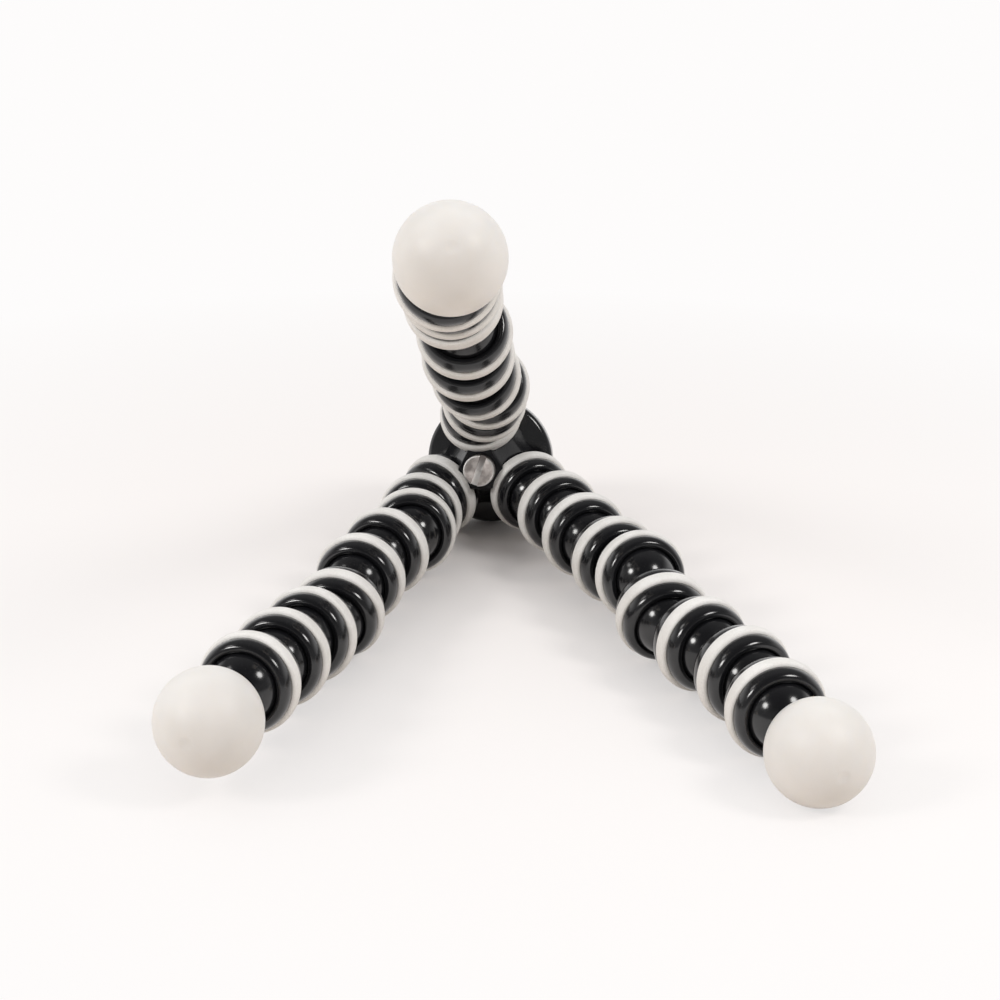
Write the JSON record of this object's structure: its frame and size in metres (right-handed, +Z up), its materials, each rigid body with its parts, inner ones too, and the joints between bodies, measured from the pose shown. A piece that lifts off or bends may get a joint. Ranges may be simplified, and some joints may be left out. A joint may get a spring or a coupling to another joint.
{
  "type": "flexible leg tripod",
  "caption": "Flexible camera tripod with ball-and-socket legs, rubber grip rings, ball feet and a captive camera screw, bent and lying on its side.",
  "frame": {"origin": "middle of the lowest side of the whole object's box, as it lies on the right foot, the fifth grip ring of the left leg and the head plate's rim", "axes": "+Z up, +X from the left foot to the right foot, +Y away from the feet towards the camera platform"},
  "size_m": [0.165, 0.22, 0.1358],
  "materials": {
    "black_moulding": "glossy black moulding",
    "grip_rubber": "matte light grey",
    "foot_rubber": "matte off-white, slightly see-through",
    "pad_rubber": "matte black, fine ribs",
    "screw_steel": "turned and worn",
    "ring_steel": "plain spring steel"
  },
  "bodies": {
    "hub": {"hub_body": "black_moulding", "hub_grip_rings": "grip_rubber", "head_plate": "black_moulding", "platform_pad": "pad_rubber"},
    "screw": {"camera_screw": "screw_steel", "screw_retaining_ring": "ring_steel"},
    "upper_segment_1": {"upper_link_1": "black_moulding", "upper_grip_1": "grip_rubber"},
    "upper_segment_2": {"upper_link_2": "black_moulding", "upper_grip_2": "grip_rubber"},
    "upper_segment_3": {"upper_link_3": "black_moulding", "upper_grip_3": "grip_rubber"},
    "upper_segment_4": {"upper_link_4": "black_moulding", "upper_grip_4": "grip_rubber"},
    "upper_segment_5": {"upper_link_5": "black_moulding", "upper_grip_5": "grip_rubber"},
    "upper_segment_6": {"upper_link_6": "black_moulding", "upper_grip_6": "grip_rubber"},
    "upper_segment_7": {"upper_link_7": "black_moulding", "upper_grip_7": "grip_rubber"},
    "upper_segment_8": {"upper_link_8": "black_moulding", "upper_grip_8": "grip_rubber"},
    "upper_foot": {"upper_foot_stud": "black_moulding", "upper_foot_ball": "foot_rubber"},
    "right_segment_1": {"right_link_1": "black_moulding", "right_grip_1": "grip_rubber"},
    "right_segment_2": {"right_link_2": "black_moulding", "right_grip_2": "grip_rubber"},
    "right_segment_3": {"right_link_3": "black_moulding", "right_grip_3": "grip_rubber"},
    "right_segment_4": {"right_link_4": "black_moulding", "right_grip_4": "grip_rubber"},
    "right_segment_5": {"right_link_5": "black_moulding", "right_grip_5": "grip_rubber"},
    "right_segment_6": {"right_link_6": "black_moulding", "right_grip_6": "grip_rubber"},
    "right_segment_7": {"right_link_7": "black_moulding", "right_grip_7": "grip_rubber"},
    "right_segment_8": {"right_link_8": "black_moulding", "right_grip_8": "grip_rubber"},
    "right_foot": {"right_foot_stud": "black_moulding", "right_foot_ball": "foot_rubber"},
    "left_segment_1": {"left_link_1": "black_moulding", "left_grip_1": "grip_rubber"},
    "left_segment_2": {"left_link_2": "black_moulding", "left_grip_2": "grip_rubber"},
    "left_segment_3": {"left_link_3": "black_moulding", "left_grip_3": "grip_rubber"},
    "left_segment_4": {"left_link_4": "black_moulding", "left_grip_4": "grip_rubber"},
    "left_segment_5": {"left_link_5": "black_moulding", "left_grip_5": "grip_rubber"},
    "left_segment_6": {"left_link_6": "black_moulding", "left_grip_6": "grip_rubber"},
    "left_segment_7": {"left_link_7": "black_moulding", "left_grip_7": "grip_rubber"},
    "left_segment_8": {"left_link_8": "black_moulding", "left_grip_8": "grip_rubber"},
    "left_foot": {"left_foot_stud": "black_moulding", "left_foot_ball": "foot_rubber"}
  },
  "joints": [
    {"name": "upper_fold_1", "type": "hinge", "parent": "hub", "child": "upper_segment_1", "pos_m": [-0.00858, 0.08717, 0.03963], "axis": [0.997, 0.0767, -0.0103], "range_deg": [-43, 10]},
    {"name": "upper_sway_2", "type": "hinge", "parent": "upper_segment_1", "child": "upper_segment_2", "pos_m": [-0.00704, 0.06834, 0.0487], "axis": [-0.0201, 0.453, 0.8913], "range_deg": [-26, 33]},
    {"name": "upper_fold_3", "type": "hinge", "parent": "upper_segment_2", "child": "upper_segment_3", "pos_m": [-0.00687, 0.04965, 0.05821], "axis": [-0.9864, 0.1367, -0.0918], "range_deg": [-24, 31]},
    {"name": "upper_sway_4", "type": "hinge", "parent": "upper_segment_3", "child": "upper_segment_4", "pos_m": [-0.01027, 0.03064, 0.06636], "axis": [0.0081, -0.5164, -0.8563], "range_deg": [-25, 32]},
    {"name": "upper_fold_5", "type": "hinge", "parent": "upper_segment_4", "child": "upper_segment_5", "pos_m": [-0.01236, 0.01277, 0.07712], "axis": [0.9993, -0.0282, 0.026], "range_deg": [-29, 29]},
    {"name": "upper_sway_6", "type": "hinge", "parent": "upper_segment_5", "child": "upper_segment_6", "pos_m": [-0.01315, -0.00514, 0.08798], "axis": [0.0071, 0.5921, 0.8058], "range_deg": [-23, 36]},
    {"name": "upper_fold_7", "type": "hinge", "parent": "upper_segment_6", "child": "upper_segment_7", "pos_m": [-0.01627, -0.02183, 0.10027], "axis": [-0.9992, -0.0028, -0.0397], "range_deg": [-13, 45]},
    {"name": "upper_sway_8", "type": "hinge", "parent": "upper_segment_7", "child": "upper_segment_8", "pos_m": [-0.01651, -0.04145, 0.10766], "axis": [0.0426, -0.3262, -0.9443], "range_deg": [-31, 28]},
    {"name": "upper_fold_9", "type": "hinge", "parent": "upper_segment_8", "child": "upper_foot", "pos_m": [-0.01717, -0.06127, 0.11447], "axis": [0.9982, 0.0585, 0.0099], "range_deg": [-25, 33]},
    {"name": "right_fold_1", "type": "hinge", "parent": "hub", "child": "right_segment_1", "pos_m": [0.0082, 0.0807, 0.01515], "axis": [-0.3977, -0.1709, -0.9014], "range_deg": [-29, 29]},
    {"name": "right_sway_2", "type": "hinge", "parent": "right_segment_1", "child": "right_segment_2", "pos_m": [0.01614, 0.0613, 0.01532], "axis": [0.8505, 0.2937, -0.4363], "range_deg": [-32, 27]},
    {"name": "right_fold_3", "type": "hinge", "parent": "right_segment_2", "child": "right_segment_3", "pos_m": [0.0229, 0.04145, 0.01513], "axis": [0.4078, 0.1454, 0.9014], "range_deg": [-32, 27]},
    {"name": "right_sway_4", "type": "hinge", "parent": "right_segment_3", "child": "right_segment_4", "pos_m": [0.03068, 0.02199, 0.01475], "axis": [-0.8799, -0.1781, 0.4406], "range_deg": [-34, 22]},
    {"name": "right_fold_5", "type": "hinge", "parent": "right_segment_4", "child": "right_segment_5", "pos_m": [0.03624, 0.00201, 0.01778], "axis": [-0.4776, 0.0879, -0.8742], "range_deg": [-16, 29]},
    {"name": "right_sway_6", "type": "hinge", "parent": "right_segment_5", "child": "right_segment_6", "pos_m": [0.04071, -0.01798, 0.01332], "axis": [0.8182, 0.3834, -0.4283], "range_deg": [-12, 46]},
    {"name": "right_fold_7", "type": "hinge", "parent": "right_segment_6", "child": "right_segment_7", "pos_m": [0.04972, -0.03691, 0.01359], "axis": [-0.3963, -0.166, -0.903], "range_deg": [-30, 29]},
    {"name": "right_sway_8", "type": "hinge", "parent": "right_segment_7", "child": "right_segment_8", "pos_m": [0.05826, -0.05605, 0.01337], "axis": [-0.8727, -0.2117, 0.44], "range_deg": [-24, 32]},
    {"name": "right_fold_9", "type": "hinge", "parent": "right_segment_8", "child": "right_foot", "pos_m": [0.06321, -0.07643, 0.01337], "axis": [-0.4245, -0.1078, -0.899], "range_deg": [-26, 33]},
    {"name": "left_fold_1", "type": "hinge", "parent": "hub", "child": "left_segment_1", "pos_m": [-0.02176, 0.08485, 0.01236], "axis": [0.5667, -0.1539, -0.8095], "range_deg": [-5, 54]},
    {"name": "left_sway_2", "type": "hinge", "parent": "left_segment_1", "child": "left_segment_2", "pos_m": [-0.02631, 0.0644, 0.01307], "axis": [-0.8251, -0.002, -0.565], "range_deg": [-26, 30]},
    {"name": "left_fold_3", "type": "hinge", "parent": "left_segment_2", "child": "left_segment_3", "pos_m": [-0.02766, 0.04358, 0.01511], "axis": [0.5442, -0.2342, -0.8056], "range_deg": [-46, 12]},
    {"name": "left_sway_4", "type": "hinge", "parent": "left_segment_3", "child": "left_segment_4", "pos_m": [-0.03539, 0.02409, 0.01556], "axis": [0.7689, -0.2433, 0.5913], "range_deg": [-35, 24]},
    {"name": "left_fold_5", "type": "hinge", "parent": "left_segment_4", "child": "left_segment_5", "pos_m": [-0.04132, 0.004, 0.015], "axis": [-0.6046, 0.0362, 0.7957], "range_deg": [-28, 30]},
    {"name": "left_sway_6", "type": "hinge", "parent": "left_segment_5", "child": "left_segment_6", "pos_m": [-0.0461, -0.01623, 0.01229], "axis": [-0.7891, 0.1781, -0.5879], "range_deg": [-43, 15]},
    {"name": "left_fold_7", "type": "hinge", "parent": "left_segment_6", "child": "left_segment_7", "pos_m": [-0.05235, -0.03611, 0.01465], "axis": [0.5486, -0.2275, -0.8045], "range_deg": [-28, 31]},
    {"name": "left_sway_8", "type": "hinge", "parent": "left_segment_7", "child": "left_segment_8", "pos_m": [-0.05771, -0.05627, 0.01669], "axis": [-0.7915, 0.1693, -0.5873], "range_deg": [-30, 29]},
    {"name": "left_fold_9", "type": "hinge", "parent": "left_segment_8", "child": "left_foot", "pos_m": [-0.06339, -0.07636, 0.01856], "axis": [-0.5654, 0.172, 0.8067], "range_deg": [-26, 33]},
    {"name": "camera_screw_turn", "type": "hinge", "parent": "hub", "child": "screw", "pos_m": [-0.0073, 0.08474, 0.0223], "axis": [0.1498, 0.9764, -0.1556], "continuous": true}
  ]
}
